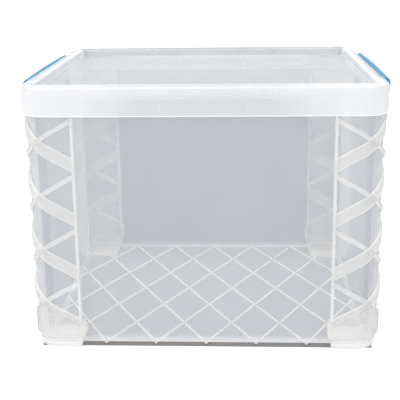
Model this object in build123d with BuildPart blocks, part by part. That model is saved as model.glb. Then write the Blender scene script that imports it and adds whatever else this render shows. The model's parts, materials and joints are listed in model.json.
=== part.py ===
from build123d import *
import math
import os

# Latching storage box: a clear moulded tub with raised truss bars round its four corner posts,
# a lift-off lid, and a latch handle hinged on each side.
# Millimetres. The origin is on the ground under the middle of the tub. X runs across the two
# latch handles, -Y is the front and +Z is up.
# The tub is one moulding. Its bars, feet, floor ribs, gussets and hinge lugs are regions of it
# that meet the shell face to face.

# Overall size
lid_width = 362.0
lid_depth = 317.0
lid_top = 273.5

# Tub: walls, posts and floor
lid_overhang = 4.6
tub_width = lid_width - 2 * lid_overhang
tub_depth = lid_depth - 2 * lid_overhang
wall = 2.2
post_width = 50.0
post_radius = 24.0
panel_recess = 10.5
front_panel_width = tub_width - 2 * post_width
side_panel_width = tub_depth - 2 * post_width
core_width = tub_width - 2 * panel_recess
core_depth = tub_depth - 2 * panel_recess
floor_underside = 2.2
floor_thickness = 2.2
floor_top = floor_underside + floor_thickness

# Lid: a skirt round the rim, a raised border and a sunken top panel
lid_wall = 2.2
lid_radius = post_radius + lid_overhang
lid_edge_round = 5.0
skirt_height = 29.5
skirt_bottom = lid_top - skirt_height
border_width = 14.0
sunken_depth = 8.0
lid_gap = 0.3
plug_bottom = lid_top - sunken_depth - lid_wall
plug_inset = border_width - lid_wall

# Rim: a flange that carries the lid, with an upright lip inside the lid's skirt
flange_thickness = 2.4
flange_top = plug_bottom - lid_gap
flange_underside = flange_top - flange_thickness
lip_clearance = 1.6
lip_top = lid_top - lid_wall - lip_clearance

# Feet at the bottom of the posts
foot_height = 13.0
foot_wall = 3.2
foot_taper = 2.0
foot_taper_height = 11.0

# Truss bars round each post, raised from its faces
bar_raise = 2.4
bar_pitch = 56.0
lowest_node = 23.0
wide_bar = 14.0
narrow_bar = 5.3
front_wide_shift = 2.5
front_narrow_shift = -6.5
back_wide_shift = -3.0
back_narrow_shift = 6.4
edge_bar_width = 3.0
truss_gap = 1.0
truss_top = skirt_bottom - truss_gap
foot_wrap = 2.0
front_wrap_top = 30.0
side_wrap_top = 20.0

# Diamond ribs under the floor
rib_width = 2.0
rib_height = 1.6
rib_spacing = 52.0
rib_half_rows = 6
rib_end_nub = 0.8

# Gussets under the rim on the front and back panels
gusset_width = 2.0
gusset_spacing = 85.0
gusset_gap = 2.0
gusset_bottom = skirt_bottom + gusset_gap

# Latch handles, and the lugs they hinge on
handle_side_gap = 3.9
handle_length = side_panel_width - 2 * handle_side_gap
handle_bow = 1.8
handle_wall = 2.4
cheek_thickness = 2.5
handle_gap = 0.3
bay_gap = 0.4
bay_depth = lid_overhang - lid_wall - bay_gap
bay_clearance = 3.5
bay_chamfer = 2.5
lid_bay_x = lid_width / 2 - bay_depth
lip_edge_x = lid_bay_x + handle_gap
pivot_outset = 1.5
pivot_drop = 12.0
pivot_x = lid_bay_x + pivot_outset
pivot_z = skirt_bottom - pivot_drop
pin_radius = 2.2
pin_clearance = 0.05
lug_radius = 3.7
lug_width = 7.0
lug_gap = 0.5
boss_radius = 4.5
crown_half_width = 3.75
crown_height = 5.4
hook_depth = 7.5
hook_z = lid_top - hook_depth
grip_x = lip_edge_x + handle_bow + crown_half_width
plate_lean = 1.2
plate_rise = 8.0
plate_bottom = pivot_z + plate_rise

corner_x = (tub_width - post_width) / 2
corner_y = -(tub_depth - post_width) / 2


def rim_plan(grow, mode=Mode.ADD):
    """Full rounded rectangle of the tub's rim, grown outwards by grow."""
    RectangleRounded(tub_width + 2 * grow, tub_depth + 2 * grow, post_radius + grow, mode=mode)


def tub_plan(inset, mode=Mode.ADD):
    """The tub's outline with its four panels set back between the posts, shrunk by inset."""
    rim_plan(-inset, mode=mode)
    slot = panel_recess + inset
    with Locations((0, -tub_depth / 2 + slot / 2), (0, tub_depth / 2 - slot / 2)):
        Rectangle(front_panel_width + 2 * inset, slot, mode=Mode.SUBTRACT)
    with Locations((-tub_width / 2 + slot / 2, 0), (tub_width / 2 - slot / 2, 0)):
        Rectangle(slot, side_panel_width + 2 * inset, mode=Mode.SUBTRACT)


def core_plan(inset):
    """The cross between the four posts, with its panel faces moved in by inset."""
    Rectangle(front_panel_width, core_depth - 2 * inset)
    Rectangle(core_width - 2 * inset, side_panel_width)


def front_right_corner(grow):
    """Keep only the square of the front right post, grown outwards by grow."""
    with Locations((corner_x + grow / 2, corner_y - grow / 2)):
        Rectangle(post_width + grow, post_width + grow, mode=Mode.INTERSECT)


with BuildPart() as tub_shell:
    # Floor and panels between the feet
    with BuildSketch(Plane.XY.offset(floor_underside)):
        core_plan(0)
    extrude(amount=foot_height - floor_underside)
    # Posts and panels above the feet
    with BuildSketch(Plane.XY.offset(foot_height)):
        tub_plan(0)
    extrude(amount=flange_underside - foot_height)
    # Rim flange and lip
    with BuildSketch(Plane.XY.offset(flange_underside)):
        rim_plan(0)
    extrude(amount=lip_top - flange_underside)
    # Inside of the tub
    with BuildSketch(Plane.XY.offset(floor_top)):
        core_plan(wall)
    extrude(amount=foot_height - floor_top, mode=Mode.SUBTRACT)
    with BuildSketch(Plane.XY.offset(foot_height)):
        tub_plan(wall)
    extrude(amount=flange_top - foot_height, mode=Mode.SUBTRACT)
    with BuildSketch(Plane.XY.offset(flange_top)):
        rim_plan(-wall)
    extrude(amount=lip_top - flange_top, mode=Mode.SUBTRACT)

with BuildPart() as front_right_foot:
    with BuildSketch():
        rim_plan(0)
        front_right_corner(0)
    extrude(amount=foot_height)
    with BuildSketch(Plane.XY.offset(floor_top)):
        tub_plan(foot_wall)
        front_right_corner(0)
    extrude(amount=foot_height - floor_top, mode=Mode.SUBTRACT)
    sole = front_right_foot.faces().sort_by(Axis.Z)[0]
    outer_edges = sole.edges().sort_by_distance((0, 0, 0))[-3:]
    chamfer(outer_edges, length=foot_taper, length2=foot_taper_height, reference=sole)

# Truss bars. The corner plane faces out along the front right post's diagonal. Its x axis runs
# round the corner, from the post's front edge bar to its side edge bar.
outward = Vector(1, -1, 0).normalized()
around = Vector(1, 1, 0).normalized()
corner_plane = Plane(origin=(corner_x, corner_y, 0), x_dir=around, z_dir=outward)
half_span = post_width / math.sqrt(2)
bar_slope = bar_pitch / (2 * half_span)
bar_count = math.ceil((truss_top - lowest_node) / bar_pitch)


def bar_outline(node, shift, rise, thickness):
    """One straight bar that leaves the front edge bar at node + shift and goes up or down."""
    middle = node + shift + rise * bar_pitch / 2
    lift = rise * bar_slope * post_width
    half = thickness / 2
    Polygon(
        (-post_width, middle - lift - half),
        (post_width, middle + lift - half),
        (post_width, middle + lift + half),
        (-post_width, middle - lift + half),
        align=None,
    )


def corner_truss(wide_rise, wide_shift, narrow_shift):
    """Raised bars of the front right post. Wide bars climb from the front if wide_rise is 1."""
    if wide_rise > 0:
        rising_shift, falling_shift = wide_shift, narrow_shift
    else:
        rising_shift, falling_shift = narrow_shift, wide_shift
    with BuildPart() as truss:
        with BuildSketch(Plane.XY.offset(foot_height)):
            rim_plan(bar_raise)
            rim_plan(0, mode=Mode.SUBTRACT)
            front_right_corner(bar_raise)
        extrude(amount=truss_top - foot_height)
        with BuildSketch(corner_plane):
            for index in range(-1, bar_count + 2):
                node = lowest_node + index * bar_pitch
                bar_outline(node, wide_shift, wide_rise, wide_bar)
                bar_outline(node, narrow_shift, -wide_rise, narrow_bar)
            # Solid gable at the foot, under the lowest crossing
            left_top = lowest_node + rising_shift
            right_top = lowest_node + falling_shift
            peak_x = (right_top - left_top) / (2 * bar_slope)
            peak_z = left_top + bar_slope * (peak_x + half_span)
            Polygon(
                (-half_span, 0),
                (half_span, 0),
                (half_span, right_top),
                (peak_x, peak_z),
                (-half_span, left_top),
                align=None,
            )
        extrude(amount=post_width, both=True, mode=Mode.INTERSECT)
        # Upright edge bars at the post's two inner edges
        front_bar = (front_panel_width / 2 + edge_bar_width / 2, -tub_depth / 2 - bar_raise / 2)
        side_bar = (tub_width / 2 + bar_raise / 2, -side_panel_width / 2 - edge_bar_width / 2)
        with BuildSketch(Plane.XY.offset(foot_height)):
            with Locations(front_bar):
                Rectangle(edge_bar_width, bar_raise)
            with Locations(side_bar):
                Rectangle(bar_raise, edge_bar_width)
        extrude(amount=truss_top - foot_height)
        # The gable wraps round both inner edges of the post
        wrap_depth = panel_recess + bar_raise
        front_wrap = (front_panel_width / 2 - foot_wrap / 2, -core_depth / 2 - wrap_depth / 2)
        side_wrap = (core_width / 2 + wrap_depth / 2, -side_panel_width / 2 + foot_wrap / 2)
        with BuildSketch(Plane.XY.offset(foot_height)):
            with Locations(front_wrap):
                Rectangle(foot_wrap, wrap_depth)
        extrude(amount=front_wrap_top - foot_height)
        with BuildSketch(Plane.XY.offset(foot_height)):
            with Locations(side_wrap):
                Rectangle(wrap_depth, foot_wrap)
        extrude(amount=side_wrap_top - foot_height)
    return truss.part


front_bars = corner_truss(1, front_wide_shift, front_narrow_shift)
back_bars = corner_truss(-1, back_wide_shift, back_narrow_shift)

with BuildPart() as front_right_truss:
    add(front_bars)

with BuildPart() as front_left_truss:
    mirror(front_bars, about=Plane.YZ)

with BuildPart() as back_right_truss:
    mirror(back_bars, about=Plane.XZ)

with BuildPart() as back_left_truss:
    mirror(back_right_truss.part, about=Plane.YZ)

with BuildPart() as front_left_foot:
    mirror(front_right_foot.part, about=Plane.YZ)

with BuildPart() as back_right_foot:
    mirror(front_right_foot.part, about=Plane.XZ)

with BuildPart() as back_left_foot:
    mirror(front_left_foot.part, about=Plane.XZ)

# Diamond ribs. Each rib climbs half a spacing sideways in every half row.
with BuildPart() as floor_ribs:
    rib_run = rib_half_rows * rib_spacing / 2
    rib_length = math.hypot(rib_run, core_depth) + 2 * rib_spacing
    rib_columns = math.ceil((core_width / 2 + rib_run) / rib_spacing)
    with BuildSketch(Plane.XY.offset(floor_underside)):
        for column in range(-rib_columns, rib_columns + 1):
            for lean in (-1, 1):
                rib_angle = math.degrees(math.atan2(core_depth, lean * rib_run))
                rib_middle = (column * rib_spacing + lean * rib_run / 2, 0)
                with Locations(Location(rib_middle, rib_angle)):
                    Rectangle(rib_length, rib_width)
        with BuildSketch(mode=Mode.INTERSECT):
            core_plan(-rib_end_nub)
    extrude(amount=-rib_height)

with BuildPart() as rim_gussets:
    gusset_y = (tub_depth - panel_recess) / 2
    with BuildSketch(Plane.XY.offset(gusset_bottom)):
        with GridLocations(gusset_spacing, 2 * gusset_y, 2, 2):
            Rectangle(gusset_width, panel_recess)
    extrude(amount=flange_underside - gusset_bottom)

# Hinge lugs stand out of the side panel and carry the handle's pins
cheek_inner_y = handle_length / 2 - cheek_thickness
lug_middle_y = cheek_inner_y - lug_gap - lug_width / 2
lug_reach = pivot_x - core_width / 2

with BuildPart() as right_latch_lugs:
    for side in (-1, 1):
        with BuildSketch(Plane.XZ.offset(side * lug_middle_y)):
            with Locations((core_width / 2 + lug_reach / 2, pivot_z)):
                Rectangle(lug_reach, 2 * lug_radius)
            with Locations((pivot_x, pivot_z)):
                Circle(lug_radius)
                Circle(pin_radius + pin_clearance, mode=Mode.SUBTRACT)
        extrude(amount=lug_width / 2, both=True)

with BuildPart() as left_latch_lugs:
    mirror(right_latch_lugs.part, about=Plane.YZ)


def lid_plan(inset, mode=Mode.ADD):
    """The lid's outline shrunk by inset."""
    RectangleRounded(lid_width - 2 * inset, lid_depth - 2 * inset, lid_radius - inset, mode=mode)


bay_length = handle_length + 2 * bay_clearance

with BuildPart() as lid:
    with BuildSketch(Plane.XY.offset(skirt_bottom)):
        lid_plan(0)
    extrude(amount=skirt_height)
    fillet(lid.faces().sort_by(Axis.Z)[-1].edges(), lid_edge_round)
    # Side bays that take the latch handles
    with BuildSketch(Plane.XZ):
        for side in (-1, 1):
            Polygon(
                (side * lid_bay_x, skirt_bottom),
                (side * lid_bay_x, lid_top - bay_chamfer),
                (side * (lid_bay_x - bay_chamfer), lid_top),
                (side * lid_width / 2, lid_top),
                (side * lid_width / 2, skirt_bottom),
                align=None,
            )
    extrude(amount=bay_length / 2, both=True, mode=Mode.SUBTRACT)
    # Room inside the skirt, kept clear of the bays and round the plug
    with BuildSketch(Plane.XY.offset(skirt_bottom)):
        lid_plan(lid_wall)
        with Locations((-lid_width / 2, 0), (lid_width / 2, 0)):
            Rectangle(2 * (bay_depth + lid_wall), bay_length + 2 * lid_wall, mode=Mode.SUBTRACT)
    extrude(amount=plug_bottom - skirt_bottom, mode=Mode.SUBTRACT)
    with BuildSketch(Plane.XY.offset(plug_bottom)):
        lid_plan(lid_wall)
        lid_plan(plug_inset, mode=Mode.SUBTRACT)
        with Locations((-lid_width / 2, 0), (lid_width / 2, 0)):
            Rectangle(2 * (bay_depth + lid_wall), bay_length + 2 * lid_wall, mode=Mode.SUBTRACT)
    extrude(amount=sunken_depth, mode=Mode.SUBTRACT)
    # Sunken panel in the top
    with BuildSketch(Plane.XY.offset(lid_top)):
        lid_plan(border_width)
    extrude(amount=-sunken_depth, mode=Mode.SUBTRACT)

# Latch handle. Its grip is a hooked section carried round a shallow bow, with a cheek at each
# end that turns on the tub's lugs.
bow_radius = (handle_length**2 / 4 + handle_bow**2) / (2 * handle_bow)
bow_axis = Axis((grip_x - bow_radius, 0, 0), (0, 0, 1))
bow_angle = math.degrees(math.asin(handle_length / 2 / bow_radius))
end_grip_x = grip_x - handle_bow


def grip_outline(middle_x, thickness):
    """Hooked section round middle_x: a plate that rolls over into a lip at the top."""
    with Locations((middle_x, hook_z)):
        Ellipse(crown_half_width, crown_height)
        Ellipse(crown_half_width - thickness, crown_height - thickness, mode=Mode.SUBTRACT)
    with Locations((middle_x, hook_z - crown_height)):
        Rectangle(2 * crown_half_width, 2 * crown_height, mode=Mode.SUBTRACT)
    outer_x = middle_x + crown_half_width
    Polygon(
        (outer_x - thickness, hook_z),
        (outer_x, hook_z),
        (outer_x - plate_lean, plate_bottom),
        (outer_x - plate_lean - thickness, plate_bottom),
        align=None,
    )


def cheek_outline(middle_x):
    """Side view of the handle's end: the grip's outline filled in, with the hinge boss."""
    outer_x = middle_x + crown_half_width
    with Locations((middle_x, hook_z)):
        Ellipse(crown_half_width, crown_height)
    with Locations((middle_x, hook_z - crown_height)):
        Rectangle(2 * crown_half_width, 2 * crown_height, mode=Mode.SUBTRACT)
    Polygon(
        (outer_x - 2 * crown_half_width, hook_z),
        (outer_x, hook_z),
        (outer_x - plate_lean, plate_bottom),
        (pivot_x + boss_radius, pivot_z),
        (outer_x - 2 * crown_half_width, pivot_z),
        align=None,
    )
    with Locations((pivot_x, pivot_z)):
        Circle(boss_radius)


with BuildPart() as right_latch_handle:
    with BuildSketch(Plane.XZ):
        grip_outline(grip_x, handle_wall)
    revolve(axis=bow_axis, revolution_arc=bow_angle)
    mirror(about=Plane.XZ)
    with BuildSketch(Plane.XZ):
        with Locations((grip_x, pivot_z)):
            Rectangle(handle_length, handle_length)
    extrude(amount=cheek_inner_y, both=True, mode=Mode.INTERSECT)
    for side in (-1, 1):
        with BuildSketch(Plane.XZ.offset(side * cheek_inner_y)):
            cheek_outline(end_grip_x)
        extrude(amount=side * cheek_thickness)
        with BuildSketch(Plane.XZ.offset(side * cheek_inner_y)):
            with Locations((pivot_x, pivot_z)):
                Circle(pin_radius)
        extrude(amount=-side * (lug_gap + lug_width))

with BuildPart() as left_latch_handle:
    mirror(right_latch_handle.part, about=Plane.YZ)

pieces = {
    "tub_shell": tub_shell,
    "front_left_foot": front_left_foot,
    "front_right_foot": front_right_foot,
    "back_left_foot": back_left_foot,
    "back_right_foot": back_right_foot,
    "front_left_truss": front_left_truss,
    "front_right_truss": front_right_truss,
    "back_left_truss": back_left_truss,
    "back_right_truss": back_right_truss,
    "floor_ribs": floor_ribs,
    "rim_gussets": rim_gussets,
    "left_latch_lugs": left_latch_lugs,
    "right_latch_lugs": right_latch_lugs,
    "lid": lid,
    "left_latch_handle": left_latch_handle,
    "right_latch_handle": right_latch_handle,
}
os.makedirs("parts", exist_ok=True)
for name, piece in pieces.items():
    piece.part.label = name
    export_step(piece.part, f"parts/{name}.step")
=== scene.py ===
import json
import logging
import math
from dataclasses import dataclass
from enum import Enum

import bmesh
import bpy
import numpy as np
from mathutils import Matrix, Vector


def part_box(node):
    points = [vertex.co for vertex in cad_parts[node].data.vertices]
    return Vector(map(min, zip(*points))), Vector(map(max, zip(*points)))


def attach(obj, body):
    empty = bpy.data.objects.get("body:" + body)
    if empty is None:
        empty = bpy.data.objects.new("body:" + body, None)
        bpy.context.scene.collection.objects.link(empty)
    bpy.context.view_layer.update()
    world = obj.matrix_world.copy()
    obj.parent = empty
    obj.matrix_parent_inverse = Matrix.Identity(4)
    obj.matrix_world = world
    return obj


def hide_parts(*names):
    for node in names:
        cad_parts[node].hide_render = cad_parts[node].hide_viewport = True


# Looks of a clear latching storage box: a tub with truss bars round its corner posts, a lid with
# a sunken top, and a blue latch handle on each side. Metres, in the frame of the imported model.

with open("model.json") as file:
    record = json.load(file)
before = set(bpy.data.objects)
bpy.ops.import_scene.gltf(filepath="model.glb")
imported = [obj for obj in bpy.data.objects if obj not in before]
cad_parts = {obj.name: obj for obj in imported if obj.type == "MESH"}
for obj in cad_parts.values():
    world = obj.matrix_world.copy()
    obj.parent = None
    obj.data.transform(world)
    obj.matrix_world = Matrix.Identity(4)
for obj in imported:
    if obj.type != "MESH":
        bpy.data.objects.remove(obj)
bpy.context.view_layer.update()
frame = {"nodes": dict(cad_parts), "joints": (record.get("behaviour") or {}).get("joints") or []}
LOG = logging.getLogger("storage_box")
MM = 0.001


class Place(Enum):
    """A place on the box that names of nodes start with."""

    @property
    def label(self) -> str:
        """The place's name as it stands in the names of nodes."""
        return self.name.lower()


class Corner(Place):
    """The four corner posts, as the signs of their X and Y."""

    FRONT_LEFT = (-1, -1)
    FRONT_RIGHT = (1, -1)
    BACK_LEFT = (-1, 1)
    BACK_RIGHT = (1, 1)

    @property
    def is_front(self) -> bool:
        """True for the two posts on the front."""
        return self.value[1] < 0


class Side(Place):
    """The box's two handle sides, as the sign of X."""

    LEFT = -1
    RIGHT = 1


# --- Shader maths


class Tap:
    """A socket in a node tree, so that shader maths reads as Python."""

    def __init__(self, tree: bpy.types.NodeTree, socket: bpy.types.NodeSocket) -> None:
        """Keep the tree and the output socket that carries the value."""
        self.tree = tree
        self.socket = socket

    def _math(self, operation: str, first: object, second: object) -> "Tap":
        """The value of a Math node fed with Taps or numbers."""
        return Finish.node_in(self.tree, "ShaderNodeMath", {"operation": operation}, {0: first, 1: second})

    def __add__(self, other: object) -> "Tap":
        """Sum."""
        return self._math("ADD", self, other)

    __radd__ = __add__

    def __mul__(self, other: object) -> "Tap":
        """Product."""
        return self._math("MULTIPLY", self, other)

    __rmul__ = __mul__

    def __sub__(self, other: object) -> "Tap":
        """Difference."""
        return self._math("SUBTRACT", self, other)

    def __rsub__(self, other: object) -> "Tap":
        """Difference with this on the right."""
        return self._math("SUBTRACT", other, self)

    def clamped(self, low: float, high: float) -> "Tap":
        """The value kept between low and high."""
        return self._math("MINIMUM", self._math("MAXIMUM", self, low), high)


@dataclass(frozen=True)
class Finish:
    """What every finish shares: its name, its colour and its gloss."""

    name: str
    colour: tuple[float, float, float]
    roughness: float

    @staticmethod
    def node_in(tree: bpy.types.NodeTree, kind: str, settings: dict, inputs: dict, output: object = 0) -> Tap:
        """Add one node, set it up and feed it.

        Args:
            tree: Tree to add it to.
            kind: The node's type.
            settings: Properties to set first.
            inputs: Input socket, by name or number, to a Tap, a number or a colour.
            output: Name or number of the output to return.

        Returns:
            The chosen output.
        """
        node = tree.nodes.new(kind)
        for key, value in settings.items():
            setattr(node, key, value)
        for key, value in inputs.items():
            if isinstance(value, Tap):
                tree.links.new(value.socket, node.inputs[key])
            else:
                node.inputs[key].default_value = value
        return Tap(tree, node.outputs[output])

    def start(self) -> tuple[bpy.types.Material, bpy.types.NodeTree]:
        """Make an empty node material.

        Returns:
            The material and its tree.
        """
        material = bpy.data.materials.new(self.name)
        material.use_nodes = True
        material.node_tree.nodes.clear()
        return material, material.node_tree

    @staticmethod
    def close(tree: bpy.types.NodeTree, shader: Tap) -> None:
        """Feed the shader to the material's output."""
        output = tree.nodes.new("ShaderNodeOutputMaterial")
        tree.links.new(shader.socket, output.inputs["Surface"])

    def surface(self, tree: bpy.types.NodeTree, sockets: dict) -> Tap:
        """A Principled shader with these sockets set or fed."""
        return self.node_in(tree, "ShaderNodeBsdfPrincipled", {}, sockets)

    def milk(self, tree: bpy.types.NodeTree) -> Tap:
        """The mesh's own share of milk, with the painted highlights, painted light and painted shade that
        some meshes carry.
        """
        return self.node_in(tree, "ShaderNodeAttribute", {"attribute_name": "milk"}, {}, "Fac")

    def place(self, tree: bpy.types.NodeTree) -> Tap:
        """The point's place on the object, in metres."""
        return self.node_in(tree, "ShaderNodeTexCoord", {}, {}, "Object")

    def cloud(self, tree: bpy.types.NodeTree, scale: float, detail: float = 2.0) -> Tap:
        """Soft noise from 0 to 1, given its cells per metre and octaves of finer noise."""
        inputs = {"Vector": self.place(tree), "Scale": scale, "Detail": detail}
        return self.node_in(tree, "ShaderNodeTexNoise", {}, inputs, "Fac")

    def blend(self, tree: bpy.types.NodeTree, share: Tap, first: object, second: object) -> Tap:
        """Mix two colours.

        Args:
            tree: Tree to add it to.
            share: Share of the second colour.
            first: Red, green and blue, or a Tap.
            second: Red, green and blue, or a Tap.

        Returns:
            The mixed colour.
        """
        first, second = (end if isinstance(end, Tap) else (*end, 1.0) for end in (first, second))
        inputs = {"Factor": share, 6: first, 7: second}
        return self.node_in(tree, "ShaderNodeMix", {"data_type": "RGBA"}, inputs, 2)

    def bump(self, tree: bpy.types.NodeTree, height: Tap, strength: float, distance: float) -> Tap:
        """Normal bent by a height from 0 to 1, whose full depth is the distance in metres."""
        inputs = {"Height": height, "Strength": strength, "Distance": distance}
        return self.node_in(tree, "ShaderNodeBump", {}, inputs, "Normal")


@dataclass(frozen=True)
class ClearPlastic(Finish):
    """Natural polypropylene: see-through where it is thin, milky where it is thick."""

    tint: tuple[float, float, float] = (0.996, 0.997, 0.998)
    haze: float = 0.045
    mottle: float = 0.03
    milk_gain: float = 0.3
    sheen_gain: float = 0.3
    grain: float = 0.15
    mottle_scale: float = 22.0
    wave_scale: float = 14.0
    fine_scale: float = 900.0
    fine_share: float = 0.01
    grain_depth: float = 1.2 * MM

    def build(self) -> bpy.types.Material:
        """Make the material.

        Light passes by a tinted transparent shader. The share that the surface scatters or
        reflects is the haze, a slow mottle and the Fresnel reflection added up.

        Returns:
            The material.
        """
        material, tree = self.start()
        mottle = self.cloud(tree, self.mottle_scale, 3.0)
        fine = self.cloud(tree, self.fine_scale)
        wave = self.cloud(tree, self.wave_scale, 1.0)
        height = wave * (1 - self.fine_share) + fine * self.fine_share
        normal = self.bump(tree, height, self.grain, self.grain_depth)
        warm = tuple(min(1.0, c * 1.03) for c in self.colour)
        cool = tuple(c * 0.97 for c in self.colour)
        base = self.blend(tree, mottle, cool, warm)
        rough = (mottle * 0.12 + (self.roughness - 0.06)).clamped(0.02, 1.0)
        sockets = {"Base Color": base, "Roughness": rough, "IOR": 1.49, "Normal": normal}
        plastic = self.surface(tree, sockets)
        clear = self.node_in(tree, "ShaderNodeBsdfTransparent", {}, {"Color": (*self.tint, 1.0)})
        fresnel = self.node_in(tree, "ShaderNodeFresnel", {}, {"IOR": 1.38, "Normal": normal})
        share = fresnel * self.sheen_gain + mottle * self.mottle
        # The milk attribute adds milkiness, and on some pieces painted highlights and painted light.
        share = (share + self.milk(tree) * self.milk_gain + self.haze).clamped(0.0, 1.0)
        mixed = self.node_in(tree, "ShaderNodeMixShader", {}, {0: share, 1: clear, 2: plastic})
        self.close(tree, mixed)
        return material


@dataclass(frozen=True)
class ColouredPlastic(Finish):
    """Coloured polypropylene with a satin gloss, and rims darkened by painted shade."""

    shade: tuple[float, float, float] = (0.01, 0.13, 0.2)
    grain: float = 0.25

    def build(self) -> bpy.types.Material:
        """Make the material.

        Returns:
            The material.
        """
        material, tree = self.start()
        slow = self.cloud(tree, 35.0, 3.0)
        fine = self.cloud(tree, 1400.0, 2.0)
        # Painted shade: the milk attribute darkens the colour towards the shade colour on the rims; the slow
        # noise adds random tone.
        share = (self.milk(tree) * 0.85 + slow * 0.12).clamped(0.0, 1.0)
        base = self.blend(tree, share, self.colour, self.shade)
        rough = (slow * 0.14 + (self.roughness - 0.07)).clamped(0.05, 1.0)
        normal = self.bump(tree, fine, self.grain, 0.15 * MM)
        sockets = {"Base Color": base, "Roughness": rough, "IOR": 1.49, "Normal": normal}
        self.close(tree, self.surface(tree, {**sockets, "Specular IOR Level": 0.25}))
        return material


@dataclass(frozen=True)
class StudioFloor(Finish):
    """Plain matt paper, lit from below to white, and grey where it is seen through the box."""

    shade: tuple[float, float, float] = (0.12, 0.135, 0.16)
    glow: tuple[float, float, float] = (0.55, 0.55, 0.55)
    shade_glow: tuple[float, float, float] = (0.225, 0.23, 0.24)
    shadow: tuple[float, float, float] = (0.26, 0.245, 0.235)
    shadow_width: float = 0.172
    shadow_depth: float = 0.1495
    shadow_sharpness: float = 400.0

    def build(self) -> bpy.types.Material:
        """Make the material.

        Returns:
            The material.
        """
        material, tree = self.start()
        depth = self.node_in(tree, "ShaderNodeLightPath", {}, {}, "Transparent Depth")
        through = depth.clamped(0.0, 1.0)
        size = self.node_in(tree, "ShaderNodeVectorMath", {"operation": "ABSOLUTE"}, {0: self.place(tree)})
        shadow = 1 - through
        for axis, reach in (("X", self.shadow_width), ("Y", self.shadow_depth)):
            away = self.node_in(tree, "ShaderNodeSeparateXYZ", {}, {"Vector": size}, axis)
            shadow = shadow * ((reach - away) * self.shadow_sharpness).clamped(0.0, 1.0)
        open_base = self.blend(tree, through, self.colour, self.shade)
        open_glow = self.blend(tree, through, self.glow, self.shade_glow)
        base = self.blend(tree, shadow, open_base, self.shadow)
        glow = self.blend(tree, shadow, open_glow, (0.0, 0.0, 0.0))
        sockets = {"Base Color": base, "Roughness": self.roughness, "Specular IOR Level": 0.0}
        paper = self.surface(tree, {**sockets, "Emission Color": glow, "Emission Strength": 1.0})
        self.close(tree, paper)
        return material


# --- Meshes from grids


class Shell:
    """Closed grids of points in millimetres, gathered before they become one piece."""

    def __init__(self) -> None:
        """Start with nothing in it."""
        self.points: list[np.ndarray] = []
        self.milk: list[np.ndarray] = []
        self.faces: list[list[int]] = []
        self.count = 0

    def add(self, grid: np.ndarray, milk: object = 0.0) -> None:
        """Add a grid whose rows are closed loops, and close its first and last rows.

        Each face joins a point to its neighbour in the row and to the two above them. Where two
        rows stand far apart, a row close to each of them keeps the shading flat in between.

        Args:
            grid: Points as rows by columns by 3.
            milk: How milky the finish is, with the painted highlights, painted light and painted shade that
                some pieces carry, as one number or an array over the grid.
        """
        share = np.broadcast_to(milk, grid.shape[:2])[..., None]
        stack = np.concatenate([grid, share], axis=-1)
        reach = np.abs(np.diff(grid, axis=0)).sum(axis=-1).max(axis=-1)
        spans = [stack[:1]]
        for first, last, length in zip(stack[:-1], stack[1:], reach):
            near = [0.05 / length, 1 - 0.05 / length] if length > 1.5 else []
            spans.append(np.stack([first + (last - first) * share for share in (*near, 1.0)]))
        stack = np.concatenate(spans)
        grid, share = stack[..., :3], stack[..., 3]
        rows, columns = grid.shape[:2]
        row = np.arange(rows - 1)[:, None]
        column = np.arange(columns)[None, :]
        after = (column + 1) % columns
        above = row + 1
        row, above = row * columns, above * columns
        here = np.stack([row + column, row + after, above + after, above + column], axis=-1)
        self.faces.extend((here.reshape(-1, 4) + self.count).tolist())
        self.faces.append((np.arange(columns)[::-1] + self.count).tolist())
        self.faces.append((np.arange(columns) + (rows - 1) * columns + self.count).tolist())
        self.points.append(grid.reshape(-1, 3))
        self.milk.append(share.reshape(-1))
        self.count += rows * columns

    def piece(self, name: str, sharp_degrees: float = 40.0) -> bpy.types.Object:
        """Make the object, with faces outwards and smooth shading.

        Args:
            name: The object's name.
            sharp_degrees: Edges that turn more than this stay sharp.

        Returns:
            The object, at the origin.
        """
        mesh = bpy.data.meshes.new(name)
        mesh.from_pydata((np.concatenate(self.points) * MM).tolist(), [], self.faces)
        milk = mesh.attributes.new("milk", "FLOAT", "POINT")
        milk.data.foreach_set("value", np.concatenate(self.milk).astype(np.float32))
        work = bmesh.new()
        work.from_mesh(mesh)
        bmesh.ops.recalc_face_normals(work, faces=work.faces)
        work.to_mesh(mesh)
        work.free()
        mesh.shade_smooth()
        mesh.set_sharp_from_angle(angle=math.radians(sharp_degrees))
        flat = [len(face.vertices) <= 4 for face in mesh.polygons]
        mesh.polygons.foreach_set("use_smooth", flat)
        made = bpy.data.objects.new(name, mesh)
        bpy.context.scene.collection.objects.link(made)
        return made


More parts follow.
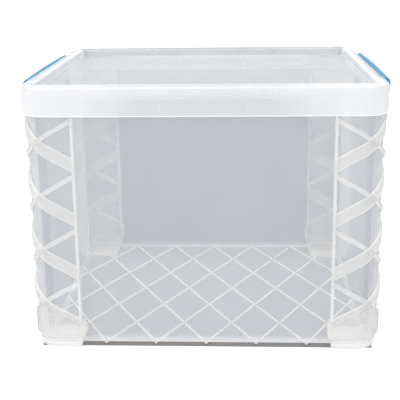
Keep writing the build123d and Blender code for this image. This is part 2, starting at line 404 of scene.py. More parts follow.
def rounded_loop(corners: np.ndarray, radii: np.ndarray, steps: np.ndarray, lead: float = 0.05) -> np.ndarray:
    """Closed outline with each corner rounded by an arc.

    An arc's centre lies radius / cos(half the turn) from the corner along its bisector. The arc's
    points are the centre plus the radius times a direction that turns evenly. One more point
    stands on the straight at each end of the arc, so that shading stays flat beyond it.

    Args:
        corners: Corner points in order.
        radii: One radius for each corner.
        steps: Number of points for each corner.
        lead: How far the extra points stand from the arc.

    Returns:
        The outline's points.
    """
    come = corners - np.roll(corners, 1, axis=0)
    go = np.roll(come, -1, axis=0)
    heading = np.arctan2(come[:, 1], come[:, 0])
    turn = (np.arctan2(go[:, 1], go[:, 0]) - heading + np.pi) % (2 * np.pi) - np.pi
    way = np.sign(turn)
    middle = heading + turn / 2
    inward = np.stack([-np.sin(middle), np.cos(middle)], axis=-1) * way[:, None]
    centre = corners + inward * (radii / np.cos(turn / 2))[:, None]
    which = np.repeat(np.arange(len(corners)), steps)
    place = (np.arange(len(which)) - np.repeat(np.cumsum(steps) - steps, steps) - 1) / (steps[which] - 3)
    angle = heading[which] + turn[which] * place.clip(0, 1)
    outward = np.stack([np.sin(angle), -np.cos(angle)], axis=-1)
    tangent = np.stack([np.cos(angle), np.sin(angle)], axis=-1)
    beyond = lead * np.sign(place - place.clip(0, 1))
    return centre[which] + outward * (way * radii)[which, None] + tangent * beyond[:, None]


@dataclass(frozen=True)
class RecessedPlan:
    """A rounded rectangle with a shallow recess in the middle of each of its four sides."""

    half_width: float
    half_depth: float
    corner_radius: float
    half_front: float
    half_side: float
    front_recess: float
    side_recess: float
    edge_radius: float
    corner_steps: int = 24
    edge_steps: int = 7
    shear: float = 0.2

    def loop(
        self, inset: float, height: float, front: float = 1.0, side: float = 1.0, draw_in: float = 0.0
    ) -> np.ndarray:
        """The outline at one height.

        A recess that is only partly open has its points moved out towards the side in
        proportion, and sheared along the side by a share of that move so that none meet.

        Args:
            inset: How far the outline is moved in.
            height: Z of the outline.
            front: Open share of the front and back recesses.
            side: Open share of the two side recesses.
            draw_in: Further inset of the parts between the recesses.

        Returns:
            Points as columns by 3.
        """
        width, depth = self.half_width - inset - draw_in, self.half_depth - inset - draw_in
        across, along = self.half_front + inset + draw_in, self.half_side + inset + draw_in
        deep_x = self.half_width - self.side_recess - inset
        deep_y = self.half_depth - self.front_recess - inset
        quarter = np.array(
            [(across, -deep_y), (across, -depth), (width, -depth), (width, -along), (deep_x, -along)]
        )
        half = np.concatenate([quarter, quarter[::-1] * (1, -1)])
        corners = np.concatenate([half, half[::-1] * (-1, 1)])
        outer = min(self.edge_radius, max(0.3, self.edge_radius - inset))
        inner = min(self.edge_radius + inset, 0.9 * (min(self.front_recess, self.side_recess) - outer))
        radii = np.tile([inner, outer, max(1.0, self.corner_radius - inset), outer, inner], 4)
        edge = self.edge_steps
        steps = np.tile([edge, edge, self.corner_steps, edge, edge], 4)
        # The second and fourth quarters run the other way round
        which = np.repeat(np.tile([0, 0, 2, 1, 1, 1, 1, 2, 0, 0], 2), steps)
        points = rounded_loop(corners, radii, steps)
        size, sign = np.abs(points), np.sign(points)
        gap_y = np.where(which == 0, (depth - size[:, 1]) * (1 - front), 0)
        gap_x = np.where(which == 1, (width - size[:, 0]) * (1 - side), 0)
        size = size + np.stack([gap_x - self.shear * gap_y, gap_y - self.shear * gap_x], axis=-1)
        return np.column_stack([size * sign, np.full(len(points), height)])

    def rows(self, table: list[tuple]) -> np.ndarray:
        """Stack outlines, given the arguments of loop for each row."""
        return np.stack([self.loop(*row) for row in table])


def arc_rows(start: tuple[float, float], end: tuple[float, float], bend: int, steps: int) -> list[tuple]:
    """Points on a quarter round between two points.

    The first coordinate runs as 1 - cos and the second as sin of an angle from 0 to 90 degrees,
    or the other way round when bend is 1.

    Args:
        start: First point.
        end: Last point.
        bend: 0 to leave the start along the second coordinate, 1 to leave it along the first.
        steps: Number of points.

    Returns:
        The points in order.
    """
    angle = np.linspace(0, np.pi / 2, steps)
    slow, fast = 1 - np.cos(angle), np.sin(angle)
    share = np.stack([slow, fast] if bend == 0 else [fast, slow], axis=-1)
    return [tuple(row) for row in np.array(start) + (np.array(end) - np.array(start)) * share]


def block(low: tuple, high: tuple, edge: float = 0.5, top_edge: float = 0.5) -> np.ndarray:
    """A box with rounded upright edges and softened ends.

    Args:
        low: Lowest corner.
        high: Highest corner.
        edge: Radius of the upright edges.
        top_edge: Softening of the two ends.

    Returns:
        Points as rows by columns by 3.
    """
    rows = []
    for inset, height in (
        *arc_rows((top_edge, low[2]), (0, low[2] + top_edge), 1, 4),
        *arc_rows((0, high[2] - top_edge), (top_edge, high[2]), 0, 4),
    ):
        x0, y0, x1, y1 = low[0] + inset, low[1] + inset, high[0] - inset, high[1] - inset
        corners = np.array([(x0, y0), (x1, y0), (x1, y1), (x0, y1)])
        outline = rounded_loop(corners, np.full(4, max(0.1, edge - inset / 2)), np.full(4, 6))
        rows.append(np.column_stack([outline, np.full(len(outline), height)]))
    return np.stack(rows)


def oval(centre: tuple[float, float], across: float, up: float, angle: np.ndarray) -> np.ndarray:
    """Points of an ellipse: its centre plus the half sizes times cos and sin of the angles."""
    return np.stack([centre[0] + across * np.cos(angle), centre[1] + up * np.sin(angle)], axis=-1)


def there_and_back(values: np.ndarray) -> np.ndarray:
    """The values in order and then in reverse."""
    return np.concatenate([values, values[::-1]])


def flipped(grid: np.ndarray, corner: Corner) -> np.ndarray:
    """A grid made for the front right corner, carried to another corner."""
    return grid * np.array([corner.value[0], -corner.value[1], 1])


# --- The tub


@dataclass(frozen=True)
class Look:
    """The finishes of the box, one for each slot of the record."""

    wall: bpy.types.Material
    frosted: bpy.types.Material
    lid: bpy.types.Material
    handle: bpy.types.Material


def settle(piece: bpy.types.Object, body: str, nodes: tuple, finish: bpy.types.Material) -> None:
    """Give a piece its finish and say what it rides on and stands for.

    Args:
        piece: The new piece.
        body: Body that carries it.
        nodes: CAD nodes that it stands for.
        finish: The material.
    """
    piece.data.materials.append(finish)
    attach(piece, body)
    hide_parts(*nodes)
    LOG.info("%s on %s: %d faces", piece.name, body, len(piece.data.polygons))


@dataclass
class Tub:
    """The clear tub: posts, recessed panels, floor, rim flange and upright lip."""

    half_width: float
    half_depth: float
    floor_underside: float
    lip_top: float
    post_width: float = 50.0
    post_radius: float = 24.0
    recess: float = 10.5
    wall: float = 2.2
    foot_wall: float = 3.2
    floor_thickness: float = 2.2
    flange_underside: float = 260.6
    flange_top: float = 263.0
    foot_height: float = 13.0
    taper: float = 2.0
    taper_height: float = 11.0
    post_milk: float = 0.05
    back_milk: float = 0.4
    rim_milk: float = 0.35
    # Painted light: extra milk that makes the back posts lighter than the front ones.
    foot_milk: float = 0.25
    floor_milk: float = -0.3
    # Painted highlight: extra milk that whitens the rounded bottom edge, and at half strength the floor's
    # inner bend.
    edge_milk: float = 0.9
    pad_milk: float = 0.9
    web_milk: float = 0.3
    web_width: float = 2.0

    @classmethod
    def from_frame(cls) -> "Tub":
        """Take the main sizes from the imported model."""
        low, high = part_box("tub_shell")
        return cls(high.x / MM, high.y / MM, low.z / MM, high.z / MM)

    @property
    def half_front(self) -> float:
        """Half the width of the front panel."""
        return self.half_width - self.post_width

    @property
    def half_side(self) -> float:
        """Half the width of the side panel."""
        return self.half_depth - self.post_width

    def draw_in(self, height: float) -> float:
        """How far the foot has tapered in at a height."""
        return self.taper * max(0.0, 1 - height / self.taper_height)

    def shell(self) -> bpy.types.Object:
        """Walls, floor and rim as one closed skin.

        The rows run up the outside, over the lip, down the inside and onto the floor. The
        panels' recesses close under the flange and open again inside it.

        Returns:
            The piece.
        """
        halves = (self.half_front, self.half_side, self.recess, self.recess, 1.6)
        plan = RecessedPlan(self.half_width, self.half_depth, self.post_radius, *halves)
        base, under, top = self.floor_underside, self.flange_underside, self.flange_top
        lip, wall = self.lip_top, self.wall
        floor = base + self.floor_thickness
        bend = floor + 2.2
        outside = [
            (0.9, base, 1, 1, self.draw_in(base)),
            (0.25, base + 0.25, 1, 1, self.draw_in(base)),
            (0.0, base + 0.9, 1, 1, self.draw_in(base + 0.9)),
            (0.0, self.taper_height),
            (0.0, self.foot_height),
            (0.0, under - 2.0),
            (0.0, under - 0.9, 0.98, 0.98),
            (0.0, under - 0.25, 0.94, 0.94),
            (0.0, under, 0.86, 0.86),
            (0.02, under + 0.02, 0.03, 0.03),
            (0.0, under + 0.35, 0, 0),
            (0.0, top, 0, 0),
        ]
        over = [
            (0.0, lip - 0.5, 0, 0),
            (0.15, lip - 0.15, 0, 0),
            (0.5, lip, 0, 0),
            (wall - 0.5, lip, 0, 0),
            (wall - 0.15, lip - 0.15, 0, 0),
            (wall, lip - 0.5, 0, 0),
        ]
        inside = [
            (wall, top + 0.5, 0, 0),
            (wall + 0.1, top + 0.1, 0.01, 0.01),
            (wall + 0.12, top, 0.05, 0.05),
            (wall + 0.1, top - 0.02, 0.93, 0.93),
            (wall + 0.03, top - 0.15, 0.98, 0.98),
            (wall, top - 0.6),
            (wall, self.foot_height + 0.3),
            (self.foot_wall, self.foot_height - 0.4),
            *((inset, height, 1, 1, self.draw_in(height)) for inset, height in arc_rows(
                (self.foot_wall, bend), (self.foot_wall + 2.2, floor), 0, 6
            )),
        ]
        grid = plan.rows(outside + over + inside)
        size = np.abs(grid)
        posts = (size[..., 0] > self.half_front - 0.5) & (size[..., 1] > self.half_side - 0.5)
        rim = grid[..., 2] > under + 0.1
        shell = Shell()
        foot = posts & (grid[..., 2] < self.foot_height - 0.2)
        back = posts & (grid[..., 1] > 0)
        # The back posts' extra share is painted light.
        milk = posts * self.post_milk + back * self.back_milk + rim * self.rim_milk + foot * self.foot_milk
        # Painted highlight along the rounded bottom edge, and at half strength along the floor's inner bend.
        milk[1:3] += self.edge_milk
        milk[-5:-1] += self.edge_milk / 2
        milk[[0, -1]] = self.floor_milk
        shell.add(grid, milk)
        return shell.piece("tub_walls")

    def pads(self) -> bpy.types.Object:
        """Solid soles under the four posts, tapered and rounded like the feet."""
        rows = []
        for extra, height in ((0.9, 0.0), (0.3, 0.2), (0.05, 0.7), (0.05, 2.4), (0.5, 3.2)):
            inset = self.draw_in(height) + extra
            low_x, high_x = self.half_front + inset, self.half_width - inset
            low_y, high_y = -self.half_depth + inset, -self.half_side - inset
            corners = np.array([(low_x, low_y), (high_x, low_y), (high_x, high_y), (low_x, high_y)])
            outline = rounded_loop(
                corners, np.array([1.2, self.post_radius - inset, 1.2, 1.2]), np.array([6, 24, 6, 6])
            )
            rows.append(np.column_stack([outline, np.full(len(outline), height)]))
        pads = Shell()
        for corner in Corner:
            pads.add(flipped(np.stack(rows), corner), self.pad_milk)
        return pads.piece("tub_soles")

    def gussets(self, low: Vector, high: Vector) -> bpy.types.Object:
        """Four small webs under the rim on the front and back panels.

        Args:
            low: Lowest corner of the CAD webs.
            high: Highest corner of the CAD webs.

        Returns:
            The piece.
        """
        webs = Shell()
        end_x = high.x / MM
        face_y = self.half_depth - self.recess
        for corner in Corner:
            inner_low = (end_x - self.web_width, -self.half_depth + 0.1, low.z / MM)
            grid = block(inner_low, (end_x, -face_y + 0.6, high.z / MM + 0.6), 0.5, 0.4)
            webs.add(flipped(grid, corner), self.web_milk)
        return webs.piece("rim_webs")

    def dress(self, look: Look) -> None:
        """Build the tub's own pieces and hand them to the frame."""
        settle(self.shell(), "tub", ("tub_shell",), look.wall)
        feet = tuple(f"{corner.label}_foot" for corner in Corner)
        settle(self.pads(), "tub", feet, look.frosted)
        settle(self.gussets(*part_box("rim_gussets")), "tub", ("rim_gussets",), look.frosted)


@dataclass
class CornerTruss:
    """Raised bars that wind round one post, its two edge bars and the gable at its foot."""

    tub: Tub
    corner: Corner
    top: float
    raise_by: float = 2.4
    pitch: float = 56.0
    lowest_node: float = 23.0
    wide_bar: float = 14.0
    narrow_bar: float = 5.3
    wide_shift: float = 2.5
    narrow_shift: float = -6.5
    edge_bar: float = 3.0
    front_wrap_top: float = 30.0
    side_wrap_top: float = 20.0
    embed: float = 0.7
    gable_milk: float = 0.2
    bar_milk: float = 0.6

    @classmethod
    def for_corner(cls, tub: Tub, corner: Corner) -> "CornerTruss":
        """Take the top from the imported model, and the bars' places from the kind of corner.

        Args:
            tub: The tub.
            corner: The post.

        Returns:
            The truss.
        """
        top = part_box(f"{corner.label}_truss")[1].z / MM
        if corner.is_front:
            return cls(tub, corner, top)
        return cls(tub, corner, top, wide_shift=-3.0, narrow_shift=6.4)

    @property
    def rise(self) -> int:
        """1 if the wide bars climb from the front face to the side, else -1."""
        return 1 if self.corner.is_front else -1

    def around(self, run: np.ndarray) -> tuple[np.ndarray, np.ndarray, np.ndarray]:
        """The post's outer face as a path from its front edge to its side edge.

        The path is straight, then an arc whose angle is the run past its start over the radius,
        then straight. The third value grows in step with distance across the post's diagonal.

        Args:
            run: Distances along the path.

        Returns:
            Points, outward normals and the shares of the way across, from 0 to 1.
        """
        radius, straight = self.tub.post_radius, self.tub.post_width - self.tub.post_radius
        bend = radius * math.pi / 2
        angle = ((run - straight) / radius).clip(0, math.pi / 2)
        across = run.clip(0, straight) + radius * np.sin(angle)
        along = radius * (1 - np.cos(angle)) + (run - straight - bend).clip(0, None)
        points = np.stack([self.tub.half_front + across, -self.tub.half_depth + along], axis=-1)
        normals = np.stack([np.sin(angle), -np.cos(angle)], axis=-1)
        return points, normals, (across + along) / (2 * self.tub.post_width)

    @property
    def length(self) -> float:
        """Length of the path round the post."""
        straight = self.tub.post_width - self.tub.post_radius
        return 2 * straight + self.tub.post_radius * math.pi / 2

    def band(self, run: np.ndarray, low: np.ndarray, high: np.ndarray, raised: float) -> np.ndarray:
        """A raised band on the post between two heights that change along the path.

        The section is a trapezoid with rounded shoulders, sunk a little into the wall.

        Args:
            run: Distances along the path.
            low: Height of the lower edge at each.
            high: Height of the upper edge at each.
            raised: How far the band stands out.

        Returns:
            Points as rows by columns by 3.
        """
        points, normals, _ = self.around(run)
        tall = high - low
        out = there_and_back(np.array([-self.embed, 0.0, raised - 0.7, raised - 0.2, raised, raised]))
        up = np.array([0.0, 0.05, 0.25, 0.55, 1.1, 1.2])
        up = np.concatenate([up, -up[::-1]])
        ends = np.repeat([0.0, 1.0], len(up) // 2)
        squeeze = (tall / 3.0).clip(0.05, 1.0)
        height = low[:, None] + ends * tall[:, None] + up * squeeze[:, None]
        flat = points[:, None, :] + normals[:, None, :] * out[None, :, None]
        return np.concatenate([flat, height[..., None]], axis=-1)

    def bar(self, node: float, rise: int, tall: float, raised: float) -> np.ndarray | None:
        """One bar, cut off level at the truss's top and at the foot.

        Its middle climbs evenly with the share of the way across the post.

        Args:
            node: Height of its middle where it leaves the front edge.
            rise: 1 to climb, -1 to fall.
            tall: Upright thickness.
            raised: How far it stands out.

        Returns:
            The grid, or None where it misses the post.
        """

        def edges(run: np.ndarray) -> tuple[np.ndarray, np.ndarray]:
            """Both edges' heights, where the gable and the truss's top leave room for them."""
            middle = node + rise * self.pitch * self.around(run)[2]
            low = np.maximum(middle - tall / 2, self.gable_top(run) - 0.6)
            return low, (middle + tall / 2).clip(None, self.top)

        run = np.linspace(0.4, self.length - 0.4, 400)
        low, high = edges(run)
        inside = high - low > 0.5
        if inside.sum() < 8:
            return None
        run = np.linspace(run[inside][0], run[inside][-1], 34)
        low, high = edges(run)
        return self.band(run, low, np.maximum(high, low + 0.3), raised)

    def gable_top(self, run: np.ndarray) -> np.ndarray:
        """Height of the gable: the lower one of the two lowest bars' middles."""
        share = self.around(run)[2]
        shifts = (self.wide_shift, self.narrow_shift)
        climbing, falling = shifts if self.rise > 0 else shifts[::-1]
        up = self.lowest_node + climbing + self.pitch * share
        down = self.lowest_node + falling + self.pitch * (1 - share)
        return np.minimum(up, down)

    def gable(self) -> np.ndarray:
        """The solid fill under the lowest crossing."""
        run = np.linspace(0.2, self.length - 0.2, 60)
        low = np.full(len(run), self.tub.foot_height)
        return self.band(run, low, self.gable_top(run), self.raise_by - 0.1)

    def build(self) -> bpy.types.Object:
        """Bars, edge bars, gable and wraps of the post as one piece."""
        truss = Shell()
        # Each bar is milky, and more so on its sides and shoulders than on its face: painted highlight that
        # shows its edges as bright lines.
        wide_milk_and_highlight = there_and_back(np.array([0.9, 1.2, 1.4, 1.2, 0.3, 0.2]))
        narrow_milk_and_highlight = there_and_back(np.array([0.9, 0.9, 1.0, 0.8, 0.4, 0.35]))
        for index in range(-1, 6):
            node = self.lowest_node + index * self.pitch
            wide_start = node + self.wide_shift
            narrow_start = node + self.narrow_shift + self.pitch
            if self.rise < 0:
                wide_start += self.pitch
                narrow_start -= self.pitch
            for start, rise, tall, raised, milk in (
                (wide_start, self.rise, self.wide_bar, self.raise_by - 0.15, wide_milk_and_highlight),
                (narrow_start, -self.rise, self.narrow_bar, self.raise_by, narrow_milk_and_highlight),
            ):
                grid = self.bar(start, rise, tall, raised)
                if grid is not None:
                    truss.add(flipped(grid, self.corner), milk)
        truss.add(flipped(self.gable(), self.corner), self.gable_milk)
        tub, foot, proud = self.tub, self.tub.foot_height, self.raise_by + 0.05
        front, side = tub.half_front, tub.half_side
        width, depth = tub.half_width, tub.half_depth
        outer_y, outer_x, inner_y = -depth - proud, width + proud, -depth + tub.recess + 0.4
        for low, high in (
            ((front + 0.05, outer_y, foot), (front + self.edge_bar, -depth + 0.6, self.top)),
            ((width - 0.6, -side - self.edge_bar, foot), (outer_x, -side - 0.05, self.top)),
            ((front - 2.0, outer_y + 0.1, foot), (front + 0.6, inner_y, self.front_wrap_top)),
            ((width - tub.recess - 0.4, -side - 0.6, foot), (outer_x - 0.1, -side + 2.0, self.side_wrap_top)),
        ):
            truss.add(flipped(block(low, high, 0.6, 0.5), self.corner), self.bar_milk)
        return truss.piece(f"{self.corner.label}_bars")

    def dress(self, look: Look) -> None:
        """Build the truss and hand it to the frame."""
        settle(self.build(), "tub", (f"{self.corner.label}_truss",), look.frosted)


@dataclass
class FloorRibs:
    """Diamond ribs under the floor, which end in small nubs at the edge of the floor."""

    tub: Tub
    low: float
    width: float = 2.4
    spacing: float = 52.0
    half_rows: int = 6
    nub: float = 0.8
    embed: float = 0.5
    milk: float = 1.6

    def build(self) -> bpy.types.Object:
        """Every rib as a softened bar, clipped to the cross of the floor.

        A rib is a straight line. Its run inside each of the floor's two rectangles is the overlap
        of its runs between their sides, and the longer of both runs is kept.

        Returns:
            The piece.
        """
        tub = self.tub
        deep_x, deep_y = tub.half_width - tub.recess, tub.half_depth - tub.recess
        run = self.half_rows * self.spacing / 2
        count = math.ceil((deep_x + run) / self.spacing)
        ribs = Shell()
        boxes = np.array([(tub.half_front, deep_y + self.nub), (deep_x + self.nub, tub.half_side)])
        for lean in (-1, 1):
            way = np.array([lean * run, 2 * deep_y])
            way = way / np.hypot(*way)
            sink = 0.1 if lean > 0 else 0.0
            for column in range(-count, count + 1):
                start = np.array([column * self.spacing + lean * run / 2, 0.0])
                near = ((-np.sign(way) * boxes - start) / way).max(axis=1)
                far = ((np.sign(way) * boxes - start) / way).min(axis=1)
                spans = [(a, b) for a, b in zip(near, far) if b - a > 3.0]
                if not spans:
                    continue
                first, last = min(a for a, _ in spans), max(b for _, b in spans)
                half = self.width / 2
                top = tub.floor_underside + self.embed
                grid = block((first, -half, self.low + sink), (last, half, top), 0.4, 0.35)
                turned = np.stack(
                    [
                        start[0] + grid[..., 0] * way[0] - grid[..., 1] * way[1],
                        start[1] + grid[..., 0] * way[1] + grid[..., 1] * way[0],
                        grid[..., 2],
                    ],
                    axis=-1,
                )
                ribs.add(turned, self.milk)
        return ribs.piece("floor_lattice")

    def dress(self, look: Look) -> None:
        """Build the ribs and hand them to the frame."""
        settle(self.build(), "tub", ("floor_ribs",), look.frosted)


@dataclass
class Lid:
    """The lid: a flared skirt, a rounded border with a bay for each handle, and a sunken top."""

    half_width: float
    half_depth: float
    skirt_bottom: float
    top: float
    wall: float = 2.2
    corner_radius: float = 28.6
    edge_round: float = 5.0
    flare: float = 0.7
    half_bay: float = 103.5
    bay_depth: float = 2.0
    bay_chamfer: float = 2.5
    border: float = 14.0
    sunken: float = 8.0
    plug_bottom: float = 263.3
    rim_milk: float = 0.75
    corner_milk: float = 0.6
    lip_milk: float = 1.2
    rim_fade: float = 1.8
    corner_reach: float = 54.0

    @classmethod
    def from_frame(cls) -> "Lid":
        """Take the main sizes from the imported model."""
        low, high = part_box("lid")
        return cls(high.x / MM, high.y / MM, low.z / MM, high.z / MM)

    def open_share(self, inset: float, height: float) -> float:
        """How far the bay is open where the lid's edge rounds over.

        Args:
            inset: How far the rounding has moved in.
            height: Height of the row.

        Returns:
            Bay depth over its depth in the skirt.
        """
        bay_x = self.half_width - self.bay_depth - max(0.0, height - self.top + self.bay_chamfer)
        deep = self.half_width - self.flare - inset - bay_x
        return min(1.0, max(0.0, deep / (self.bay_depth - self.flare)))

    def build(self) -> bpy.types.Object:
        """The lid as one closed skin.

        The rows run from the underside of the plug outwards, down inside the skirt, up its
        outside, over the rounded edge and border, and down to the sunken panel.

        Returns:
            The piece.
        """
        # The front recess stays closed, so its sizes only place the points
        halves = (60.0, self.half_bay, 3.0, self.bay_depth, 0.6)
        plan = RecessedPlan(self.half_width, self.half_depth, self.corner_radius, *halves)
        wall, top, low, flare = self.wall, self.top, self.skirt_bottom, self.flare
        ceiling = top - wall
        plug = self.border - wall
        under = [
            (plug + 2.0, self.plug_bottom, 0, 0),
            (plug + 1.0, self.plug_bottom + 0.15, 0, 0),
            (plug + 0.5, self.plug_bottom + 0.8, 0, 0),
            (plug, ceiling - 1.5, 0, 0),
            (plug - 0.3, ceiling - 0.5, 0, 0),
            (plug - 1.2, ceiling, 0, 0),
            (wall + 3.2, ceiling + 0.02, 0, 0.3),
            (wall + 1.2, ceiling - 0.5, 0, 0.7),
            (wall + 0.3, ceiling - 1.4, 0, 0.95),
            (wall, ceiling - 2.8, 0, 1, flare * 0.9),
            (wall, low + 1.0, 0, 1),
            (wall - 0.2, low + 0.3, 0, 1),
        ]
        skirt = [
            (wall - 0.7, low, 0, 1),
            (0.7, low, 0, 1),
            (0.2, low + 0.3, 0, 1),
            (0.0, low + 1.0, 0, 1),
            (0.0, low + 2.2, 0, 1, 0.05),
            *(
                (inset, height, 0, self.open_share(inset, height), flare)
                for inset, height in arc_rows((0.0, top - self.edge_round), (self.edge_round, top), 0, 9)
            ),
        ]
        panel = top - self.sunken
        dished = [
            (self.border - 0.9, top - 0.02, 0, 0, flare),
            (self.border - 0.3, top - 0.3, 0, 0, flare),
            (self.border, top - 0.9, 0, 0, flare),
            (self.border + 0.5, panel + 1.3, 0, 0, flare),
            (self.border + 0.9, panel + 0.4, 0, 0, flare),
            (self.border + 1.9, panel, 0, 0, flare),
        ]
        grid = plan.rows(under + skirt + dished)
        size = np.abs(grid)
        reach = self.border + self.rim_fade
        border_x = (size[..., 0] - self.half_width + reach) / self.rim_fade
        border_y = (size[..., 1] - self.half_depth + reach) / self.rim_fade
        rim = np.maximum(border_x, border_y).clip(0, 1)
        lip = (grid[..., 2] < low + 0.5) * self.lip_milk
        corner_x = (size[..., 0] - self.half_width + self.corner_reach) / 10.0
        corner_y = (size[..., 1] - self.half_depth + self.corner_reach) / 10.0
        corner = np.minimum(corner_x, corner_y).clip(0, 1)
        lid = Shell()
        milk = rim * (self.rim_milk + corner * self.corner_milk) + lip
        milk[[0, -1]] = 0.0
        lid.add(grid, milk)
        return lid.piece("lid_skin")

    def dress(self, look: Look) -> None:
        """Build the lid and hand it to the frame."""
        settle(self.build(), "lid", ("lid",), look.lid)


@dataclass
class LatchHandle:
    """A blue latch handle: a hooked grip on a shallow bow, two cheeks and two hinge pins."""

    side: Side
    half_length: float
    pivot_x: float
    pivot_z: float
    top: float
    bow: float = 1.8
    wall: float = 2.4
    half_crown: float = 3.75
    crown: float = 5.4
    lean: float = 1.2
    plate_rise: float = 8.0
    cheek: float = 2.5
    boss: float = 4.5
    pin: float = 2.2
    pin_length: float = 7.5

    @classmethod
    def from_frame(cls, side: Side) -> "LatchHandle":
        """Take the length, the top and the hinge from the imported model.

        Args:
            side: Which handle.

        Returns:
            The handle.
        """
        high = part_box(f"{side.label}_latch_handle")[1]
        joint = next(joint for joint in frame["joints"] if joint["name"] == f"{side.label}_latch")
        pivot = joint["pos_m"]
        return cls(side, high.y / MM, abs(pivot[0]) / MM, pivot[2] / MM, high.z / MM)

    @property
    def hook_z(self) -> float:
        """Height where the plate turns into the crown."""
        return self.top - self.crown

    @property
    def grip_x(self) -> float:
        """Middle of the crown at the top of the bow."""
        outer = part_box(f"{self.side.label}_latch_handle")
        return max(abs(outer[0].x), abs(outer[1].x)) / MM - self.half_crown

    def section(self) -> np.ndarray:
        """Closed outline of the grip, from the lip over the crown and down the plate.

        The crown is half an ellipse outside and a smaller one inside. The lip's and the plate's
        ends are half rounds.

        Returns:
            X from the crown's middle and Z, as columns by 2.
        """
        sweep = np.linspace(math.pi, 0, 18)
        half, wall = self.wall / 2, self.wall
        outer = oval((0.0, self.hook_z), self.half_crown, self.crown, sweep)
        inner = oval((0.0, self.hook_z), self.half_crown - wall, self.crown - wall, sweep[::-1])
        turn = np.linspace(0, -math.pi, 9)
        foot_z = self.pivot_z + self.plate_rise + half
        foot = oval((self.half_crown - self.lean - half, foot_z), half, half, turn)
        lip = oval((half - self.half_crown, self.hook_z - 0.1), half, half, turn)
        return np.concatenate([outer, foot, inner, lip[1:-1]])

    def shoulder_shade(self) -> np.ndarray:
        """Share of painted shade along the section: 1 on the crown's outer shoulder, fading on both sides."""
        outward, up = (self.section() - (0, self.hook_z)).T / [[self.half_crown], [self.crown]]
        on_crown = (up > 0) & (np.hypot(outward, up) > 0.95)
        return on_crown * (((outward + 0.25) / 0.2).clip(0, 1) - ((outward - 0.55) / 0.15).clip(0, 1))

    def grip(self) -> np.ndarray:
        """The section carried along the bow, drawn in a little at both ends.

        The bow is an arc: its sideways offset is the radius less the root of the radius squared
        minus the distance squared.

        Returns:
            Points as rows by columns by 3.
        """
        length = self.half_length
        radius = (length**2 + self.bow**2) / (2 * self.bow)
        ends = length - np.array([r for _, r in arc_rows((0, 0.4), (1, 2.2), 0, 5)])
        along = np.concatenate([-ends, np.linspace(-length + 4, length - 4, 41), ends[::-1]])
        back = radius - np.sqrt(radius**2 - along**2)
        section = self.section()
        x = self.grip_x - back[:, None] + section[None, :, 0]
        return np.stack(np.broadcast_arrays(x, along[:, None], section[None, :, 1]), axis=-1)

    def cheek_outline(self) -> np.ndarray:
        """Side view of the end: the filled crown, and the boss round the hinge."""
        middle = self.grip_x - self.bow
        crown = oval((middle, self.hook_z), self.half_crown, self.crown, np.linspace(0, math.pi, 20))
        turn = np.linspace(math.pi, 2 * math.pi, 20)
        boss = oval((self.pivot_x, self.pivot_z), self.boss, self.boss, turn)
        outer = np.array([(middle + self.half_crown - self.lean, self.pivot_z + self.plate_rise)])
        inner = np.array([(middle - self.half_crown, self.pivot_z + self.plate_rise)])
        return np.concatenate([crown, inner, boss, outer])

    def cheek_grid(self, way: int) -> np.ndarray:
        """One cheek: its outline in several slices, drawn in where the edges round over.

        Args:
            way: 1 for the end at +Y, -1 for the other.

        Returns:
            Points as rows by columns by 3.
        """
        outline = self.cheek_outline()
        step = np.roll(outline, -1, axis=0) - np.roll(outline, 1, axis=0)
        normal = np.stack([-step[:, 1], step[:, 0]], axis=-1)
        normal = normal / np.hypot(normal[:, 0], normal[:, 1])[:, None]
        inner_y = self.half_length - self.cheek
        slices = [(0.3, inner_y), (0.0, inner_y + 0.3)]
        slices += arc_rows((0.0, self.half_length - 1.4), (1.4, self.half_length), 0, 6)
        rows = []
        for inset, y in slices:
            drawn = outline + normal * inset
            rows.append(np.stack([drawn[:, 0], np.full(len(drawn), way * y), drawn[:, 1]], axis=-1))
        return np.stack(rows)

    def pin_grid(self, way: int) -> np.ndarray:
        """One hinge pin, from inside the cheek to its rounded tip.

        Args:
            way: 1 for the end at +Y, -1 for the other.

        Returns:
            Points as rows by columns by 3.
        """
        angle = np.linspace(0, 2 * np.pi, 24, endpoint=False)
        root_y = self.half_length - self.cheek + 0.5
        tip_y = self.half_length - self.cheek - self.pin_length
        radius = self.pin - np.array([[0.0], [0.0], [0.15], [0.5]])
        y = way * np.array([[root_y], [tip_y + 0.5], [tip_y + 0.15], [tip_y]])
        x, z = self.pivot_x + radius * np.cos(angle), self.pivot_z + radius * np.sin(angle)
        return np.stack(np.broadcast_arrays(x, y, z), axis=-1)

    def build(self) -> bpy.types.Object:
        """The handle as one piece."""
        handle = Shell()
        mirror = np.array([self.side.value, 1, 1])
        handle.add(self.grip() * mirror, self.shoulder_shade()[None, :])
        for way in (-1, 1):
            handle.add(self.cheek_grid(way) * mirror)
            handle.add(self.pin_grid(way) * mirror)
        return handle.piece(f"{self.side.label}_handle_grip")

    def dress(self, look: Look) -> None:
        """Build the handle, hand it to the frame and dress the lugs it hinges on."""
        body = f"{self.side.label}_handle"
        settle(self.build(), body, (f"{self.side.label}_latch_handle",), look.handle)
        lugs = frame["nodes"][f"{self.side.label}_latch_lugs"]
        lugs.data.materials.clear()
        lugs.data.materials.append(look.frosted)


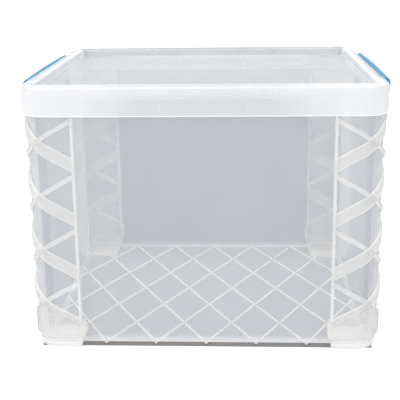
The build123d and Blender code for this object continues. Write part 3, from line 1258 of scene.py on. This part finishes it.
@dataclass
class Studio:
    """White floor, soft lights and the camera."""

    place: tuple[float, float, float] = (0.0346, -0.9482, 0.4042)
    yaw: float = -2.73
    pitch: float = 13.83
    roll: float = -0.76
    lens: float = 76.1
    shift_y: float = -0.12
    light: float = 1.3
    top_dimming: float = 0.35
    beyond: tuple[float, float, float] = (0.30, 0.33, 0.37)
    white: float = 1.05
    aim: tuple[float, float, float] = (0.0, 0.0, 0.12)
    floor_radius: float = 6.0
    floor_drop: float = 0.0002

    def camera(self) -> None:
        """Add the camera, turned by its yaw, pitch and roll."""
        yaw, pitch, roll = (math.radians(angle) for angle in (self.yaw, self.pitch, self.roll))
        ahead = Vector((math.sin(yaw) * math.cos(pitch), math.cos(yaw) * math.cos(pitch), -math.sin(pitch)))
        right = Vector((math.cos(yaw), -math.sin(yaw), 0.0))
        up = right.cross(ahead)
        across = right * math.cos(roll) + up * math.sin(roll)
        above = up * math.cos(roll) - right * math.sin(roll)
        camera = bpy.data.objects.new("camera", bpy.data.cameras.new("camera"))
        turned = Matrix((across, above, -ahead)).transposed().to_4x4()
        camera.matrix_world = Matrix.Translation(self.place) @ turned
        camera.data.lens = self.lens
        camera.data.sensor_width = 36.0
        camera.data.shift_y = self.shift_y
        bpy.context.scene.collection.objects.link(camera)
        bpy.context.scene.camera = camera

    def floor(self) -> None:
        """Add the floor, a wide disc, as stage."""
        angle = np.linspace(0, 2 * np.pi, 96, endpoint=False)
        circle = oval((0.0, 0.0), self.floor_radius, self.floor_radius, angle)
        ring = np.column_stack([circle, np.full(96, -self.floor_drop)])
        mesh = bpy.data.meshes.new("studio_floor")
        mesh.from_pydata(ring.tolist(), [], [list(range(96))])
        floor = bpy.data.objects.new("studio_floor", mesh)
        bpy.context.scene.collection.objects.link(floor)
        mesh.materials.append(StudioFloor("studio_paper", (0.9, 0.9, 0.9), 0.8).build())

    def lamp(self, name: str, place: tuple, size: float, power: float) -> None:
        """Add one square soft light aimed at the box.

        Args:
            name: The light's name.
            place: Where it hangs.
            size: Length of its side.
            power: Watts.
        """
        light = bpy.data.lights.new(name, "AREA")
        light.energy = power
        light.size = size
        lamp = bpy.data.objects.new(name, light)
        lamp.location = place
        lamp.rotation_euler = (Vector(self.aim) - Vector(place)).to_track_quat("-Z", "Y").to_euler()
        bpy.context.scene.collection.objects.link(lamp)

    def world(self) -> None:
        """White surround for sight, and a dimmer one for light and reflections."""
        world = bpy.data.worlds.new("studio")
        world.use_nodes = True
        tree = world.node_tree
        tree.nodes.clear()
        seen = Finish.node_in(tree, "ShaderNodeLightPath", {}, {}, "Is Camera Ray")
        depth = Finish.node_in(tree, "ShaderNodeLightPath", {}, {}, "Transparent Depth")
        inputs = {"Factor": seen * depth.clamped(0.0, 1.0), 6: (1, 1, 1, 1), 7: (*self.beyond, 1.0)}
        colour = Finish.node_in(tree, "ShaderNodeMix", {"data_type": "RGBA"}, inputs, 2)
        place = Finish.node_in(tree, "ShaderNodeTexCoord", {}, {}, "Generated")
        up = Finish.node_in(tree, "ShaderNodeSeparateXYZ", {}, {"Vector": place}, "Z").clamped(0.0, 1.0)
        strength = seen * (self.white - self.light) + self.light - (1 - seen) * up * self.top_dimming
        glow = Finish.node_in(tree, "ShaderNodeBackground", {}, {"Color": colour, "Strength": strength})
        output = tree.nodes.new("ShaderNodeOutputWorld")
        tree.links.new(glow.socket, output.inputs["Surface"])
        bpy.context.scene.world = world

    def build(self) -> None:
        """Set up the whole studio."""
        self.camera()
        self.floor()
        self.world()
        self.lamp("top_softbox", (0.1, 0.3, 1.5), 0.3, 6.0)
        self.lamp("front_softbox", (-0.7, -1.3, 1.1), 0.4, 4.0)
        scene = bpy.context.scene
        scene.view_settings.view_transform = "Standard"
        scene.cycles.transparent_max_bounces = 96


def main() -> None:
    """Build the box and its studio in order."""
    logging.basicConfig(level=logging.INFO, format="%(name)s: %(message)s")
    look = Look(
        ClearPlastic("clear_polypropylene", (0.91, 0.918, 0.925), 0.3).build(),
        ClearPlastic("frosted_polypropylene", (0.93, 0.915, 0.89), 0.4, haze=0.1).build(),
        ClearPlastic("milky_polypropylene", (0.9, 0.903, 0.912), 0.35, haze=0.0, sheen_gain=0.25).build(),
        ColouredPlastic("blue_polypropylene", (0.012, 0.26, 0.47), 0.4).build(),
    )
    Studio().build()
    tub = Tub.from_frame()
    tub.dress(look)
    for corner in Corner:
        CornerTruss.for_corner(tub, corner).dress(look)
    FloorRibs(tub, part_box("floor_ribs")[0].z / MM).dress(look)
    Lid.from_frame().dress(look)
    for side in Side:
        LatchHandle.from_frame(side).dress(look)


if __name__ == "__main__":
    main()
